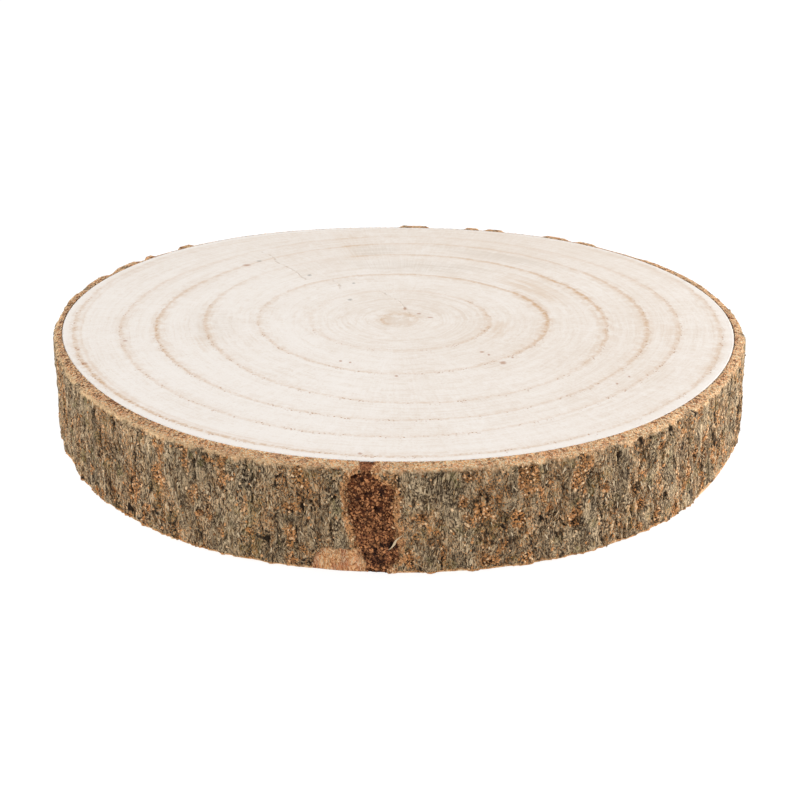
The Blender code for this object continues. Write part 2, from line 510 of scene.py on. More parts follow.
    # The underside keeps the saw's marks.
    saw = tree.noise(place.stretched(0.02, 1, 1), 1 / 0.9, 2)
    base = tree.mix((1 - upper) * saw.ramp(0.4, 0.7) * 0.35, base, SAW_MARK)
    lift = (streaks - 0.5) * 0.04 + (fuzz - 0.5) * 0.04 - check * 0.15 - pores * 0.08
    lift = lift + (1 - upper) * saw * 0.1
    tree.surface(base, 0.72 + (streaks - 0.5) * 0.1, lift)
    return material


wood = wood_disc()
spots = vertex_places(wood)
grown, width, strength = years_at(spots)
checks = np.array([beside(path, spots) for path in CHECK])
store(
    wood,
    years_grown=grown,
    year_width=width,
    year_strength=strength,
    beside_check=checks[np.abs(checks).argmin(0), np.arange(len(spots))],
)
wood.data.materials.append(wood_finish())
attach(wood, "root")
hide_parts("wood_slice")

# ---------------------------------------------------------------------------------------------
# The bark: a closed ring of dry, furrowed bark that is still fast to the wood. Sanding has worn
# its top edge to a slope of bare inner bark, the saw has torn its foot in a few places, and a
# canker has eaten a scar through it at the front.

BARK_THICKNESS = 3.4
COLUMNS = 1392
RIM_ROWS = 10
WALL_ROWS = 54
HIDDEN_ROWS = 3
SCAR_HEADING = math.radians(266)

# How far the top edge is worn down, in millimetres, at even steps from the right round by the back,
# and the short lengths behind where it stands proud: middle and half width in degrees.
WORN = (0.7, 0.8, 1.8, 1.4, 0.9, 1.2, 1.3, 1.2)
PROUD = (
    (86.5, 3.0), (75.0, 1.4), (70.5, 1.8), (58.0, 2.4), (51.5, 2.0), (28.0, 9.0), (132.5, 1.4),
    (141.0, 0.8), (147.0, 3.0), (156.5, 3.4), (166.0, 3.0),
)

# Where the bark is thicker or thinner: middle and half width in degrees, and how much more.
SWELLS = ((222, 22, 0.8), (312, 18, 0.4), (357, 7, 0.4), (181, 11, -0.5))

# At the same steps round: how dark the slope is beside the wood, partly brown inner bark and partly painted
# shade, and how pale its outer edge is.
BROWN_AND_SHADED_RIM = (0.6, 0.8, 0.8, 1.0, 1.0, 0.5, 0.0, 0.4)
PALE_RIM = (0.2, 0.0, 0.0, 0.2, 1.0, 1.0, 0.3, 0.4)

# Stretches where the bark's foot is torn away: from and to in degrees, how high in millimetres.
TORN = (
    (325.5, 346, 2.3), (196.5, 204, 1.8), (258.5, 268, 0.5), (12, 16, 1.5), (101, 112, 1.2),
    (150, 154, 2.0),
)

# The scar's outline, in millimetres: height, and its left and right edge from the scar's middle.
SCAR = (
    (0, 0.2, 6.2), (3, -1.2, 7.6), (5.5, -2.2, 9.6), (9, -3.4, 9.4), (14, -4.4, 8.8), (20, -5.8, 7.6),
    (25, -6.2, 8.0), (27.5, -6.4, 8.6), (29.5, -6.0, 5.2), (31.5, -4.6, 2.4), (33, -2.2, 1.6),
    (35, -2.6, 1.8),
)

# The flake that came off beside the scar's foot: its top edge by distance from the scar's middle.
FLAKE = ((-17.2, 0), (-16.2, 4.0), (-14.4, 7.0), (-10, 7.9), (-4, 7.8), (0.5, 7.4), (3.0, 4.4), (4.5, 0))

# Where corky bark has broken up into crumbs: heading in degrees, height, half width, half height.
CORKY = (
    (231.4, 21.0, 2.6, 4.5), (239.3, 19.5, 1.2, 3.0), (239.6, 12.1, 2.0, 1.4), (248.3, 10.0, 1.6, 1.4),
    (229.0, 7.4, 2.2, 2.4), (219.6, 5.3, 1.2, 4.0), (211.8, 8.7, 1.5, 2.6), (231.5, 30.8, 1.2, 2.0),
    (245.6, 26.8, 1.4, 1.2), (241.6, 31.3, 2.0, 1.4), (203.6, 19.1, 2.0, 4.0), (236.4, 33.0, 1.6, 1.0),
    (254.7, 19.8, 2.8, 1.8), (254.6, 10.7, 1.8, 5.0), (254.5, 2.9, 2.8, 2.4), (309.7, 21.1, 2.6, 1.6),
    (309.2, 10.9, 2.6, 2.0), (313.3, 5.3, 1.4, 2.6), (323.3, 17.8, 1.8, 4.2), (330.2, 12.8, 2.6, 4.2),
    (317.7, 16.4, 1.4, 3.4), (313.4, 27.7, 3.0, 2.0), (296.6, 12.8, 2.6, 4.6), (296.8, 26.0, 2.2, 4.4),
    (302.3, 20.0, 1.2, 1.2), (309.0, 3.4, 2.2, 1.8), (292.6, 17.7, 1.4, 1.8), (332.8, 9.3, 2.0, 4.0),
    (280.6, 30.8, 3.0, 1.4), (284.8, 23.7, 1.6, 1.2), (279.7, 23.2, 1.6, 2.6), (282.5, 18.8, 3.4, 4.0),
    (287.8, 15.9, 3.0, 3.6), (276.1, 13.5, 1.3, 1.3), (283.4, 3.2, 4.0, 2.2), (289.2, 2.8, 3.0, 2.0),
    (273.6, 18.4, 3.4, 1.3), (256.5, 7.3, 1.6, 1.6), (270.0, 28.0, 1.5, 5.0), (272.0, 5.0, 2.0, 4.0),
)

# Cracks and hollows: heading in degrees, height, half width, half height.
HOLLOWS = (
    (220.0, 20.5, 0.45, 3.0), (239.4, 27.0, 0.6, 4.6), (244.0, 22.8, 0.4, 2.4), (248.8, 21.5, 0.5, 4.4),
    (240.0, 12.8, 2.0, 0.6), (212.8, 17.3, 0.4, 3.0), (226.2, 29.0, 0.4, 2.6), (255.6, 10.5, 0.6, 4.6),
    (230.0, 15.7, 0.5, 2.6), (260.6, 14.3, 0.5, 4.0), (273.8, 18.8, 2.6, 0.5), (279.8, 23.6, 0.6, 1.6),
    (283.5, 2.6, 1.6, 1.2), (289.8, 32.4, 1.0, 0.9), (304.1, 29.7, 0.6, 3.2), (323.3, 17.6, 0.7, 3.0),
    (308.1, 16.6, 2.2, 2.2), (303.8, 15.2, 0.4, 3.4), (296.9, 12.0, 1.2, 3.4), (314.8, 9.4, 1.0, 2.2),
    (322.0, 8.6, 0.5, 3.0), (299.2, 24.9, 1.3, 3.6), (269.0, 8.6, 0.9, 1.8), (206.5, 12.0, 0.4, 4.0),
    (234.0, 8.6, 0.5, 3.0), (331.0, 17.0, 0.6, 3.6), (341.0, 14.0, 0.8, 4.0), (351.0, 20.0, 0.7, 4.4),
)


def round_noise(angle, size, seed):
    """Smooth noise from -1 to 1 round the stem, in waves of about this many millimetres."""
    reach = 120 / size
    return np.array([noise.noise(Vector((reach * math.cos(a), reach * math.sin(a), seed))) for a in angle])


def lump(angle, middle, half):
    """1 near a heading in degrees and 0 away from it."""
    off = np.abs((np.degrees(angle) - middle + 180) % 360 - 180) / half
    return np.clip((1.25 - off) / 0.5, 0, 1)


def bark_ring():
    """A closed ring: up its inner side, out over the worn rim, down the bark and in at the foot."""
    angle = np.arange(COLUMNS) * math.tau / COLUMNS
    edge = wood_edge(angle) / MM
    top = high.z / MM
    loose = round_noise(angle, 34, 3) + lump(angle, 165, 22) + 0.6 * lump(angle, 5, 35)
    gap = 0.06 + 0.35 * np.clip(loose - 0.35, 0, 1)
    rim = round_stem(WORN, angle) + 0.25 * round_noise(angle, 9, 5)
    for middle, half in PROUD:
        rim = rim + (0.1 - rim) * lump(angle, middle, half)
    outer = solid_edge(angle) / MM + BARK_THICKNESS + 0.35 * round_noise(angle, 40, 7)
    for middle, half, more in SWELLS:
        outer = outer + more * lump(angle, middle, half)
    thick = outer - edge
    foot = 0.2 + 0.5 * np.clip(round_noise(angle, 6, 11) + 0.2, 0, 1)
    for start, end, height in TORN:
        tear = lump(angle, (start + end) / 2, (end - start) / 2)
        foot = foot + (height + 0.5 * round_noise(angle, 5, 13) - foot) * tear
    slope = rim / thick

    # Each row round the stem: how far out, how high, and how much of the bark's relief it takes.
    slope_shares = np.linspace(0, 0.92, RIM_ROWS)
    level = 0 * edge
    rows = [(edge + 0.1, level, 0), (edge + 0.1, level + top - 3, 0), (edge + gap, level + top - 0.5, 0)]
    for share in slope_shares:
        out = gap + (thick - gap) * share
        rows.append((edge + out, top - slope * out, 0))
    for share in np.linspace(0, 1, WALL_ROWS):
        rows.append((edge + thick, top - rim + (foot - top + rim) * share, 1))
    rows += [(edge + thick * 0.85, foot * 0.3, 0.3), (edge + thick * 0.4, level, 0)]
    places = np.array([ring_of(angle, radius * MM, height * MM) for radius, height, _ in rows])
    ring = lattice("bark", places, closed_ends=False)

    heights = places[:, :, 2] / MM
    along = ((angle - SCAR_HEADING + math.pi) % math.tau - math.pi) * (edge + thick)
    scar_height, scar_left, scar_right = np.array(SCAR).T
    past_left = along - np.interp(heights, scar_height, scar_left)
    past_right = np.interp(heights, scar_height, scar_right) - along
    flake_along, flake_top = np.array(FLAKE).T
    in_flake = np.interp(along, flake_along, flake_top) - heights

    def within(spots):
        """1 in the middle of the nearest spot, 0 at its edge and less beyond."""
        best = np.full_like(heights, -1.0)
        for heading, height, half_width, half_height in spots:
            off = np.radians((np.degrees(angle) - heading + 180) % 360 - 180) * (edge + thick)
            best = np.maximum(best, 1 - np.hypot(off / half_width, (heights - height) / half_height))
        return best

    whole = np.ones_like(heights)
    outside_rows = len(rows) - HIDDEN_ROWS - RIM_ROWS
    across = np.concatenate([np.zeros(HIDDEN_ROWS), slope_shares, np.ones(outside_rows)])
    store(
        ring,
        skin=np.array([skin for _, _, skin in rows])[:, None] * whole,
        below_rim=(top - rim) - heights,
        above_foot=heights - foot,
        wood_edge=edge * whole,
        slope=slope * whole,
        in_scar=np.minimum(past_left, past_right),
        in_flake=np.where((along > FLAKE[0][0]) & (along < FLAKE[-1][0]), in_flake, -5),
        in_cork=within(CORKY),
        in_hollow=within(HOLLOWS),
        across_rim=across[:, None] * whole,
        brown_rim=round_stem(BROWN_AND_SHADED_RIM, angle) * whole,
        pale_rim=round_stem(PALE_RIM, angle) * whole,
    )
    return ring


def bark_relief(material, sizes):
    """Moves the ring's outer side out and in: ridges, plates, strands, cracks and losses. The tree's
    inputs are in millimetres."""
    tree = Tree(bpy.data.node_groups.new("bark_relief", "GeometryNodeTree"))
    size = tree.inputs(sizes)
    place = tree.place_mm()
    outward = place.stretched(1, 1, 0).vector("NORMALIZE")
    reach = place.stretched(1, 1, 0).vector("LENGTH")
    z = tree.axes(place)[2]
    skin, below_rim, above_foot = [tree.attribute(name) for name in ("skin", "below_rim", "above_foot")]

    def drawn(length, wander, seed=0.0):
        """The place, drawn out along the stem and wandering, so that a pattern on it runs up the bark."""
        sway = tree.wandering(place.stretched(1, 1, 0.5), 1 / 7, 2, wander)
        swayed = place.stretched(1, 1, 1 / length).vector("ADD", sway)
        return swayed.vector("ADD", (seed, seed, seed))

    def split(width, length, wander, seed):
        """Long cells that meet at cracks: how near the crack is, and each cell's own number."""
        across = drawn(length, wander, seed)
        crack = tree.cells(across, 1 / width, "DISTANCE_TO_EDGE")
        return crack, tree.axes(tree.cells(across, 1 / width, output="Color"))[0]

    ridge = (tree.noise(drawn(5, 5), 1 / size["Ridge width"], 1) - 0.5) * 2
    plate_edge, plate = split(size["Plate width"], 4.5, 7, 21)
    strand_edge, strand = split(size["Strand width"], 4, 4.5, 47)
    gaping = tree.noise(place.stretched(1, 1, 0.5), 1 / 8, 1).ramp(0.44, 0.62)
    crack = plate_edge.ramp(0.1, 0.0) * gaping
    torn = tree.noise(place, 1 / 0.9, 2)
    hollow = (tree.attribute("in_hollow") + (torn - 0.5) * 2.4).ramp(0.0, 0.5)
    pocked = tree.noise(drawn(2.2, 3, 83), 1 / 1.9, 2).ramp(0.40, 0.28)
    ragged = tree.noise(place, 1 / 2.6, 3, 0.6)
    patchy = tree.noise(drawn(2.2, 3, 11), 1 / size["Cork patch"], 1).ramp(0.60, 0.68)
    in_cork = tree.attribute("in_cork") + (ragged - 0.5) * 1.6
    corky = in_cork.ramp(0.05, 0.4).math("MAXIMUM", patchy * 0.8)

    height = ridge * size["Ridge depth"] + (plate - 0.5) * size["Plate depth"] * 2
    height = height + (strand - 0.5) * size["Strand depth"] * 2 + strand_edge.ramp(0.12, 0.4) * 0.12
    fold = tree.noise(drawn(2.2, 4, 61), 1 / size["Fold width"], 2) - 0.5
    height = height + fold.ramp(-0.02, 0.025) * size["Fold step"] + abs(fold).ramp(0.05, 0.0) * 0.25
    height = height - crack.math("MAXIMUM", hollow) * size["Crack depth"] - pocked * 0.4
    height = height - corky * (0.2 + ragged.ramp(0.52, 0.36) * 0.6)

    # Scuffed lengths of bare inner bark hang down from the worn rim and stand up from the foot.
    tongue = tree.noise(place, 1 / 9, 1) * 5 - 2.2
    bare = (ragged * 4.6 - 2.0 + tongue * 0.6 - below_rim).ramp(-0.2, 0.3)
    bare = (bare + (ragged * 3.2 - 1.5 - above_foot).ramp(-0.2, 0.3)).math("MINIMUM", 1)
    height = height * (1 - bare * 0.6) - bare * 0.4

    in_scar = tree.attribute("in_scar") + (ragged - 0.5) * 5.5
    scar = in_scar.ramp(-0.2, 0.3)
    lip = in_scar.ramp(-2.4, -0.6) * (1 - scar) * tree.noise(place, 1 / 3.2, 2).ramp(0.3, 0.46)
    pits = tree.noise(place.stretched(1, 1, 0.7), 1 / 2.1, 2).ramp(0.5, 0.36)
    in_flake = tree.attribute("in_flake") + (ragged - 0.5) * 4.5
    flake = in_flake.ramp(-0.15, 0.2) * (1 - scar)
    bald = (tree.noise(drawn(3, 3, 71), 1 / 1.8, 2) - 0.5) * 0.6 - size["Flake depth"]
    height = height + lip * (ragged - 0.2) * 0.9
    height = height * (1 - flake) + bald * flake
    height = height * (1 - scar) - ((ragged - 0.5) * 1.6 + size["Scar depth"] + pits * 1.2) * scar

    # A grainy slope inside the worn rim; the slope also trims whatever stands above it.
    grain = (tree.noise(place, 1 / 0.8, 2) - 0.5) * size["Rim grain"]
    out = reach + height * skin
    slope_top = high.z / MM - (out - tree.attribute("wood_edge")) * tree.attribute("slope")
    on_slope = below_rim.ramp(0.6, -0.1)
    fallen = z.math("MINIMUM", slope_top) + grain * on_slope - scar * (1 - skin) * on_slope * ragged * 0.5
    moved = outward.vector("SCALE", Scale=out).vector("ADD", tree.point(0, 0, fallen.math("MAXIMUM", 0)))

    sockets = {"Geometry": tree.geometry, "Position": moved.vector("SCALE", Scale=MM)}
    shape = tree.node("GeometryNodeSetPosition", None, sockets)
    kept = {
        "ridge": ridge, "crack": crack, "plate": plate, "corky": corky, "bare": bare, "fold": fold,
        "hollow": hollow, "on_slope": on_slope, "scar": scar, "lip": lip, "pits": pits * scar,
        "flake": flake,
    }
    for name, value in kept.items():
        sockets = {"Geometry": shape, "Name": name, "Value": value}
        shape = tree.node("GeometryNodeStoreNamedAttribute", None, sockets)
    return tree.finish(shape, material)


def grow(piece, tree, sizes):
    """Makes the piece's mesh the one that the tree gives, as a plain mesh."""
    modifier = piece.modifiers.new(tree.name, "NODES")
    modifier.node_group = tree
    for socket in tree.interface.items_tree:
        if socket.name in sizes:
            modifier[socket.identifier] = float(sizes[socket.name])
    graph = bpy.context.evaluated_depsgraph_get()
    grown_piece = piece.evaluated_get(graph)
    mesh = bpy.data.meshes.new_from_object(grown_piece, preserve_all_data_layers=True, depsgraph=graph)
    piece.modifiers.clear()
    piece.data = mesh


OLIVE_BARK = colour(162, 133, 96)
BROWN_BARK = colour(202, 150, 98)
# Grey bark: the paler bark of ridges and strands, and also the painted highlight on fold steps and curled
# edges.
GREY_BARK_AND_HIGHLIGHT = colour(242, 213, 172)
# Dark bark: darker tones of the bark, and also painted shade in its furrows.
DARK_BARK_AND_FURROW_SHADE = colour(80, 57, 35)
# The darkest bark: a few dark specks, and painted shade in cracks, crevices, hollows and the gaps between
# cork granules.
DARK_SPECK_AND_CREVICE_SHADE = colour(40, 27, 16)
MOSS = colour(132, 124, 66)
ORANGE_CORK = colour(248, 170, 98)
INNER_BARK = colour(255, 190, 130)
PALE_INNER_BARK = colour(255, 232, 192)
RED_INNER_BARK = colour(228, 152, 106)
LIP_BARK = colour(255, 216, 166)
# Brown specks on the worn rim, and the painted shade of the band beside the wood.
RIM_SPECK_AND_SHADE = colour(132, 78, 42)
RED_ROT = colour(150, 88, 50)
# Dark rotten wood, also used for the painted shade of the seam beside the wood.
DARK_ROT_AND_SEAM_SHADE = colour(66, 34, 19)
# The scar's pits: partly dark rot, partly painted shade in the hollows.
PIT_SHADE = colour(36, 17, 8)


def bark_finish():
    material, tree = new_finish("furrowed_bark")
    place = tree.place_mm()
    read = tree.attribute
    sway = tree.noise(place.stretched(1, 1, 0.5), 1 / 5, 2, output=1).vector("SCALE", Scale=6)
    drawn = place.stretched(1, 1, 0.42).vector("ADD", sway)
    strand_edge = tree.cells(drawn, 1 / 0.95, "DISTANCE_TO_EDGE")
    strand_tone = tree.axes(tree.cells(drawn, 1 / 0.95, output="Color"))[1]
    hair = tree.noise(drawn, 1 / 0.5, 3, 0.65)
    grit = tree.noise(place, 1 / 0.62, 3, 0.7)
    cloud = tree.noise(place.stretched(1, 1, 0.35), 1 / 8, 3)
    patch = tree.noise(place.stretched(1, 1, 0.5), 1 / 3, 2)
    broad = tree.noise(place.stretched(1, 1, 0.3), 1 / 13, 1)
    curl = tree.noise(place.stretched(1, 1, 0.45).vector("ADD", sway), 1 / 2.0, 2) - 0.5
    # Each curl's edge gets a painted highlight and the strip beside it a painted shadow, besides a little
    # bump.
    highlit_curl_edge = abs(curl).ramp(0.045, 0.0)
    curl_shadow = abs(curl - 0.06).ramp(0.04, 0.0)
    grain = tree.noise(place, 1 / 0.95, 2, 0.6)
    dust = tree.noise(drawn, 1 / 0.45, 1)
    gritty = broad.ramp(0.36, 0.56) * 0.6 + 0.4
    moss = tree.noise(place.vector("ADD", (9, 4, 7)), 1 / 6, 2).ramp(0.56, 0.66)

    skin = tree.mix(cloud.ramp(0.38, 0.6), OLIVE_BARK, BROWN_BARK)
    skin = tree.mix(broad.ramp(0.47, 0.3) * 0.55, skin, DARK_BARK_AND_FURROW_SHADE)
    skin = tree.mix(broad.ramp(0.5, 0.66) * 0.5, skin, GREY_BARK_AND_HIGHLIGHT)
    skin = tree.mix(strand_tone.ramp(0.35, 1.0) * patch.ramp(0.35, 0.6) * 0.7, skin, GREY_BARK_AND_HIGHLIGHT)
    # The fine hair is also in the bump: paler on its crests and darker in its dips, partly painted
    # highlight and painted shade.
    skin = tree.mix(hair.ramp(0.5, 0.6) * 0.65, skin, GREY_BARK_AND_HIGHLIGHT)
    skin = tree.mix(strand_tone.ramp(0.4, 0.0) * 0.5, skin, DARK_BARK_AND_FURROW_SHADE)
    skin = tree.mix(hair.ramp(0.46, 0.36) * 0.9, skin, DARK_BARK_AND_FURROW_SHADE)
    # Painted shade along the edges of the fine strands.
    skin = tree.mix(strand_edge.ramp(0.16, 0.02) * patch.ramp(0.62, 0.42) * 0.9, skin, DARK_SPECK_AND_CREVICE_SHADE)
    fold = read("fold")
    # Painted shadow below each fold's step and along each curl, and a painted highlight on the step's top
    # and the curl's edge.
    skin = tree.mix(curl_shadow * 0.7, skin, DARK_SPECK_AND_CREVICE_SHADE)
    skin = tree.mix(abs(fold + 0.03).ramp(0.035, 0.005) * grit.ramp(0.35, 0.5) * 0.5, skin, DARK_SPECK_AND_CREVICE_SHADE)
    skin = tree.mix(abs(fold - 0.015).ramp(0.03, 0.005) * patch.ramp(0.35, 0.55) * 0.5, skin, GREY_BARK_AND_HIGHLIGHT)
    skin = tree.mix(highlit_curl_edge * patch.ramp(0.3, 0.5) * 0.6, skin, GREY_BARK_AND_HIGHLIGHT)
    skin = tree.mix(moss * grit.ramp(0.42, 0.56) * 0.6, skin, MOSS)
    skin = tree.mix(grit.ramp(0.54, 0.6) * cloud.ramp(0.4, 0.62) * 0.85, skin, ORANGE_CORK)
    # Painted shade: darker where the relief sinks into a furrow.
    skin = tree.mix(read("ridge").ramp(0.0, -0.6) * 0.5, skin, DARK_BARK_AND_FURROW_SHADE)
    skin = tree.mix(dust.ramp(0.54, 0.61) * gritty * 0.55, skin, GREY_BARK_AND_HIGHLIGHT)
    skin = tree.mix(dust.ramp(0.46, 0.39) * gritty * 0.65, skin, DARK_SPECK_AND_CREVICE_SHADE)
    # Painted shade: dark in the dips of the fine grit, between the cork granules, and in the cracks and
    # hollows, which are also sunk in the mesh.
    skin = tree.mix(grit.ramp(0.44, 0.38) * 0.8, skin, DARK_SPECK_AND_CREVICE_SHADE)
    skin = tree.mix(read("corky") * 0.75, skin, tree.mix(grit.ramp(0.46, 0.56), DARK_SPECK_AND_CREVICE_SHADE, ORANGE_CORK))
    skin = tree.mix(read("crack").ramp(0.2, 0.8) * 0.95, skin, DARK_SPECK_AND_CREVICE_SHADE)
    skin = tree.mix(read("hollow").ramp(0.1, 0.7) * (grit.ramp(0.6, 0.5) * 0.5 + 0.4), skin, DARK_SPECK_AND_CREVICE_SHADE)
    skin = tree.mix(read("above_foot").ramp(0.9, 0.3) * grit.ramp(0.38, 0.5) * 0.85, skin, ORANGE_CORK)

    inner = tree.mix(grit.ramp(0.44, 0.58), INNER_BARK, PALE_INNER_BARK)
    inner = tree.mix(patch.ramp(0.48, 0.62) * 0.4, inner, RED_INNER_BARK)
    # Brown specks and a darker band beside the wood, strongest at the back and the left: partly brown inner
    # bark, partly painted shade.
    specked = grain.ramp(0.47, 0.42) * patch.ramp(0.35, 0.5) * (read("brown_rim") * 0.5 + 0.6)
    inner = tree.mix(specked, inner, RIM_SPECK_AND_SHADE)
    beside_wood = read("across_rim").ramp(0.7, 0.35) * read("brown_rim")
    inner = tree.mix(beside_wood * (grain.ramp(0.54, 0.42) * 0.8 + 0.12), inner, RIM_SPECK_AND_SHADE)
    # Painted shade: a dark seam right beside the wood, along the gap between bark and wood.
    seam_shade = read("across_rim").ramp(0.16, 0.02) * grain.ramp(0.56, 0.44) * read("brown_rim").ramp(0.3, 0.5)
    inner = tree.mix(seam_shade * 0.8, inner, DARK_ROT_AND_SEAM_SHADE)
    outer_lip = read("across_rim").ramp(0.66, 0.86) * read("pale_rim")
    inner = tree.mix(outer_lip * grit.ramp(0.3, 0.46), inner, LIP_BARK)
    skin = tree.mix(read("bare"), skin, inner)
    lip = tree.mix(grit.ramp(0.38, 0.54), RED_ROT, INNER_BARK)
    skin = tree.mix(read("lip").ramp(0.1, 0.5) * grain.ramp(0.36, 0.46) * 0.9, skin, lip)
    flake = tree.mix(patch.ramp(0.35, 0.65), RED_INNER_BARK, INNER_BARK)
    flake = tree.mix(hair.ramp(0.5, 0.6) * 0.6, flake, PALE_INNER_BARK)
    flake = tree.mix(hair.ramp(0.47, 0.4) * 0.7, flake, RED_ROT)
    skin = tree.mix(read("flake"), skin, flake)
    low_down = tree.axes(place)[2].ramp(20, 5)
    rot = tree.mix(grit.ramp(0.4, 0.65), DARK_ROT_AND_SEAM_SHADE, RED_ROT)
    rot = tree.mix(low_down * grit.ramp(0.45, 0.6) * 0.8, rot, RED_INNER_BARK)
    # Painted shade in the pits of the scar, less of it low down.
    rot = tree.mix(read("pits") * (1 - low_down * 0.5) * 0.75, rot, PIT_SHADE)
    rot = tree.mix(read("on_slope") * 0.7, rot, tree.mix(grit.ramp(0.4, 0.6), RED_ROT, RED_INNER_BARK))
    skin = tree.mix(read("scar"), skin, rot)
    lift = highlit_curl_edge * 0.25 - curl_shadow * 0.2 + hair * 0.6 + grit * 0.5 + grain * read("bare") * 0.3
    lift = lift + strand_edge.ramp(0.0, 0.25) * 0.25 * (1 - read("bare"))
    tree.surface(skin, 0.9, lift)
    return material


def strips(ring, columns, hidden_rows):
    """Lays the ring out flat for the maps that are baked from it: four strips, one above another,
    with the visible rows at full height and the hidden ones a quarter as high."""
    rows = len(ring.data.polygons) // columns
    bands = np.ones(rows)
    bands[:hidden_rows] = 0.25
    tops = np.concatenate([[0], np.cumsum(bands)]) / bands.sum()
    strip = columns // 4
    column = np.arange(columns)
    spread = np.empty((rows, columns, 4, 2), np.float32)
    spread[..., 0] = ((column % strip) / strip)[:, None] + np.array((0, 0, 1, 1)) / strip
    span = np.stack([tops[:-1], tops[1:], tops[1:], tops[:-1]], -1)
    spread[..., 1] = ((column // strip)[None, :, None] + 0.01 + 0.98 * span[:, None, :]) / 4
    ring.data.uv_layers.new(name="OFBake").data.foreach_set("uv", spread.ravel())


RELIEF = {
    "Fold width": 6.5, "Fold step": 0.25, "Ridge width": 7.0, "Ridge depth": 0.9, "Plate width": 3.6,
    "Plate depth": 0.28, "Strand width": 1.5, "Strand depth": 0.18, "Crack depth": 1.1, "Cork patch": 6.5,
    "Scar depth": 1.5, "Flake depth": 1.1, "Rim grain": 0.35,
}

bark = bark_ring()
grow(bark, bark_relief(bark_finish(), RELIEF), RELIEF)
strips(bark, COLUMNS, HIDDEN_ROWS)
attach(bark, "root")
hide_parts("wood_slice")

# ---------------------------------------------------------------------------------------------
# The fibres: short slivers of dead outer bark that have lifted at their edges and still lie along
# the stem, paler than the bark under them.

FIBRES = {"Fibres in a square mm": 0.15, "Fibre width": 0.18, "Fibre length": 0.85, "Fibre thickness": 0.14}
PALE_FIBRE = colour(230, 208, 174)
MIDDLE_FIBRE = colour(182, 149, 106)
DARK_FIBRE = colour(106, 80, 52)


def scatter(tree, density, rotation_of, scale, seed):
    """Sets rough grains on the surface, so many to a square millimetre, each with its own tone."""
    sockets = {"Mesh": tree.geometry, "Density": density / MM**2, "Seed": seed}
    spots = tree.node("GeometryNodeDistributePointsOnFaces", None, sockets, "Points")
    ball = tree.node("GeometryNodeMeshIcoSphere", None, {"Radius": MM, "Subdivisions": 1}, "Mesh")
    dents = tree.wandering(tree.place_mm(), 1.2, 1, 1.1 * MM)
    grain = tree.node("GeometryNodeSetPosition", None, {"Geometry": ball, "Offset": dents})
    rotation = rotation_of(spots.twin("Normal"))
    sockets = {"Points": spots, "Instance": grain, "Rotation": rotation, "Scale": scale}
    grains = tree.node("GeometryNodeInstanceOnPoints", None, sockets)
    sockets = {"Geometry": grains, "Name": "tone", "Value": tree.chance(0.0, 1.0, seed + 5)}
    return tree.node("GeometryNodeStoreNamedAttribute", {"domain": "INSTANCE"}, sockets)


def standing(tree, normal, lean, seed):
    """Turns a grain so that its Z stands out of the surface and its Y runs up, leaning a little."""
    drift = tree.wandering(tree.place_mm(), 1 / 7, 1, 2.4)
    along = tree.chance((-lean, -lean, 1.0), (lean, lean, 1.0), seed).vector("ADD", drift)
    return tree.node(
        "FunctionNodeAxesToRotation",
        {"primary_axis": "Z", "secondary_axis": "Y"},
        {"Primary Axis": normal, "Secondary Axis": along},
    )


def fibre_tree(material):
    tree = Tree(bpy.data.node_groups.new("bark_fibres", "GeometryNodeTree"))
    size = tree.inputs(FIBRES)
    read = tree.attribute
    sound = read("skin")
    for loss in ("bare", "scar", "flake", "corky"):
        sound = sound * (1 - read(loss))
    sound = sound * read("below_rim").ramp(0.6, 1.6) * read("above_foot").ramp(0.8, 1.8)
    scale = tree.point(
        size["Fibre width"] * tree.chance(0.6, 1.5, 2),
        size["Fibre length"] * tree.chance(0.5, 1.6, 3),
        size["Fibre thickness"] * tree.chance(0.6, 1.6, 4),
    )
    density = sound * size["Fibres in a square mm"]
    grains = scatter(tree, density, lambda normal: standing(tree, normal, 0.25, 1), scale, 11)
    return tree.finish(grains, material)


def toned(name, tones, ground):
    """A finish whose colour follows each grain's tone, with fine grit in its relief. Where one of the
    ground's masks is full, the tone runs between that mask's two colours instead."""
    material, tree = new_finish(name)
    tone = tree.attribute("tone")
    low_tone, middle_tone, high_tone = tones
    base = tree.mix(tone.ramp(0.0, 0.5), low_tone, middle_tone)
    base = tree.mix(tone.ramp(0.5, 1.0), base, high_tone)
    for attribute, (dark, light) in ground.items():
        base = tree.mix(tree.attribute(attribute).ramp(0.3, 0.7), base, tree.mix(tone, dark, light))
    grit = tree.noise(tree.place_mm(), 1 / 0.5, 2)
    tree.surface(base, 0.9, grit * 0.3)
    return material


def by_tone(piece, second):
    """Lays a piece's faces out by their grain's tone and a second number, for the baked maps."""
    mesh = piece.data
    vertex = np.empty(len(mesh.loops), np.int32)
    mesh.loops.foreach_get("vertex_index", vertex)
    layout = []
    for name in ("tone", second):
        numbers = np.empty(len(mesh.vertices), np.float32)
        mesh.attributes[name].data.foreach_get("value", numbers)
        layout.append(0.05 + 0.85 * np.clip(numbers, 0, 1))
    layout = np.stack(layout, -1)[vertex]
    spread = vertex_places(piece)[:, ::2][vertex] / MM
    spread = 0.02 * (spread - np.floor(spread / 2) * 2)
    mesh.uv_layers.new(name="OFBake").data.foreach_set("uv", (layout + spread).astype(np.float32).ravel())


def on_bark(name):
    """A piece that starts as the bark's surface, for a tree to set its grains on."""
    return placed(name, bark.data.copy())


fibres = on_bark("bark_fibres")
fibre_finish = toned("bark_fibre", (DARK_FIBRE, MIDDLE_FIBRE, PALE_FIBRE), {})
grow(fibres, fibre_tree(fibre_finish), FIBRES)
by_tone(fibres, "plate")
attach(fibres, "root")
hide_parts("wood_slice")

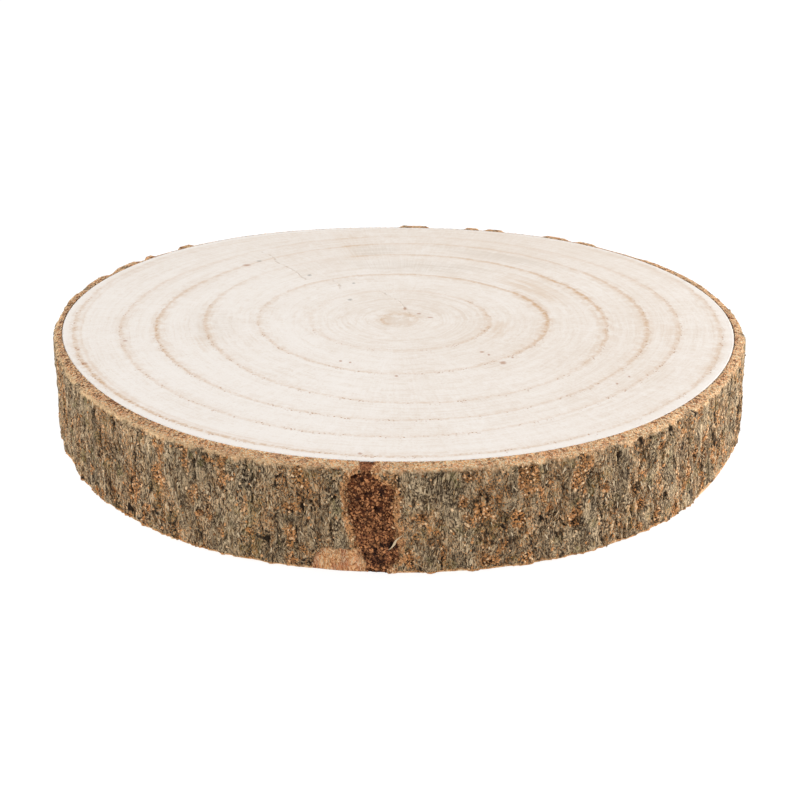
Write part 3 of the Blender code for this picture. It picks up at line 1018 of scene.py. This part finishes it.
# ---------------------------------------------------------------------------------------------
# The splinter: a tan sliver of bark that has sprung out over the hollow beside the scar's foot,
# still held at its lower end.

SPLINTER_HEADING = math.radians(270.0)
SPLINTER = {"low": 7.6, "high": 13.2, "sideways": 4.2, "half_width": 0.42, "proud": 1.0}


def splinter_mesh():
    """A lens-shaped sliver that leans to the right and bows outwards."""
    rows, sides = 14, 8
    share = np.linspace(0.02, 0.98, rows)[:, None]
    turn = (np.arange(sides) * math.tau / sides)[None, :]
    swell = np.sin(share * math.pi) ** 0.7 * SPLINTER["half_width"]
    along = swell * np.cos(turn) + SPLINTER["sideways"] * (share - 0.5) + 0.3 * np.sin(share * 7)
    out = swell * 0.6 * np.sin(turn) + SPLINTER["proud"] * share
    heights = SPLINTER["low"] + (SPLINTER["high"] - SPLINTER["low"]) * share + 0 * turn
    across = Vector((-math.sin(SPLINTER_HEADING), math.cos(SPLINTER_HEADING), 0))
    outward = Vector((math.cos(SPLINTER_HEADING), math.sin(SPLINTER_HEADING), 0))
    reach = wood_edge(SPLINTER_HEADING) / MM + BARK_THICKNESS
    places = along[..., None] * across + (out + reach)[..., None] * outward
    places = places + heights[..., None] * (0, 0, 1)
    return lattice("bark_splinter", places * MM, closed_ends=True)


splinter = splinter_mesh()
store(splinter, tone=np.full(len(splinter.data.vertices), 0.9))
splinter.data.materials.append(fibre_finish)
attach(splinter, "root")
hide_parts("wood_slice")

# ---------------------------------------------------------------------------------------------
# The crumbs: granules of cork in the broken patches and along the scar's lip, red-brown rotten
# wood inside the scar, and the grains that sanding left on the worn rim.

CRUMBS = {
    "Cork in a square mm": 1.3, "Rot in a square mm": 2.4, "Grain in a square mm": 0.8,
    "Grit in a square mm": 0.06, "Crumb": 0.38,
}
ORANGE_CRUMB = colour(216, 154, 98)
BROWN_CRUMB = colour(132, 94, 60)
PALE_CRUMB = colour(250, 214, 170)
RIM_CRUMBS = colour(192, 116, 66), colour(255, 232, 190)
DARK_RED_CRUMB = colour(66, 33, 18)
RED_CRUMB = colour(224, 156, 104)


def crumb_tree(material):
    tree = Tree(bpy.data.node_groups.new("bark_crumbs", "GeometryNodeTree"))
    size = tree.inputs(CRUMBS)
    read = tree.attribute
    skin, on_slope = read("skin"), read("on_slope")
    sound = skin * (1 - read("scar")) * (1 - read("flake"))
    sound = sound * read("below_rim").ramp(0, 1) * read("above_foot").ramp(0, 1)
    density = sound * (read("corky") + read("lip") * 0.5) * size["Cork in a square mm"]
    density = density + sound * size["Grit in a square mm"]
    density = density + read("scar") * (skin + on_slope * 0.5) * size["Rot in a square mm"]
    density = density + on_slope * (1 - skin) * size["Grain in a square mm"]
    across = size["Crumb"] * tree.chance(0.4, 1.4, 22) * (1 - on_slope * 0.5)
    scale = tree.point(across * tree.chance(0.6, 1.0, 26), across * tree.chance(0.7, 1.5, 23), across * 0.8)
    grains = scatter(tree, density, lambda normal: standing(tree, normal, 1.5, 25), scale, 31)
    return tree.finish(grains, material)


# The crumbs' colours where the ground is the worn rim, the scar or a pit in it; in a pit they are darkened
# with painted shade.
GROUND_TONES = {"on_slope": RIM_CRUMBS, "scar": (DARK_RED_CRUMB, RED_CRUMB), "pits": (PIT_SHADE, DARK_RED_CRUMB)}

crumbs = on_bark("bark_crumbs")
crumb_finish = toned("cork_crumb", (BROWN_CRUMB, ORANGE_CRUMB, PALE_CRUMB), GROUND_TONES)
grow(crumbs, crumb_tree(crumb_finish), CRUMBS)
by_tone(crumbs, "scar")
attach(crumbs, "root")
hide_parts("wood_slice")

# ---------------------------------------------------------------------------------------------
# The stage: a white table that glows a little, like a light table, under a soft white room with a
# strong low lamp past the right end, a weaker one past the left, and a faint one high in front.

TABLE_REACH = 4.0
TABLE_DROP = 0.2 * MM
ROOM_LIGHT = 0.38

# Each lamp: its heading and rise in degrees, how far off and how wide it is in metres, and its watts.
LAMPS = (
    ("right_lamp", 15, 16, 1.2, 0.6, 18),
    ("left_lamp", 165, 16, 1.2, 0.6, 8.5),
    ("front_lamp", 270, 55, 1.2, 0.9, 3.9),
)

corner_signs = ((-1, -1), (1, -1), (1, 1), (-1, 1))
corners = [(x * TABLE_REACH, y * TABLE_REACH, -TABLE_DROP) for x, y in corner_signs]
table = bpy.data.meshes.new("table")
table.from_pydata(corners, [], [(0, 1, 2, 3)])
floor = placed("table", table)
paper, paper_tree = new_finish("table")
glow = {
    "Base Color": (0.2, 0.2, 0.2, 1),
    "Roughness": 1.0,
    "Emission Color": (1, 1, 1, 1),
    "Emission Strength": 0.88,
}
shader = paper_tree.node("ShaderNodeBsdfPrincipled", None, glow)
paper_tree.node("ShaderNodeOutputMaterial", None, {"Surface": shader})
table.materials.append(paper)

room = bpy.data.worlds.new("room")
bpy.context.scene.world = room
room.use_nodes = True
room.node_tree.nodes["Background"].inputs["Color"].default_value = (1, 1, 1, 1)
room.node_tree.nodes["Background"].inputs["Strength"].default_value = ROOM_LIGHT
bpy.context.scene.view_settings.view_transform = "Standard"

for name, heading, rise, away, across, watts in LAMPS:
    lamp = placed(name, bpy.data.lights.new(name, "AREA"))
    lamp.data.size = across
    lamp.data.energy = watts
    level = math.cos(math.radians(rise))
    turn = math.radians(heading)
    towards_lamp = Vector((level * math.cos(turn), level * math.sin(turn), math.sin(math.radians(rise))))
    lamp.location = towards_lamp * away
    lamp.rotation_euler = lamp.location.to_track_quat("Z", "Y").to_euler()
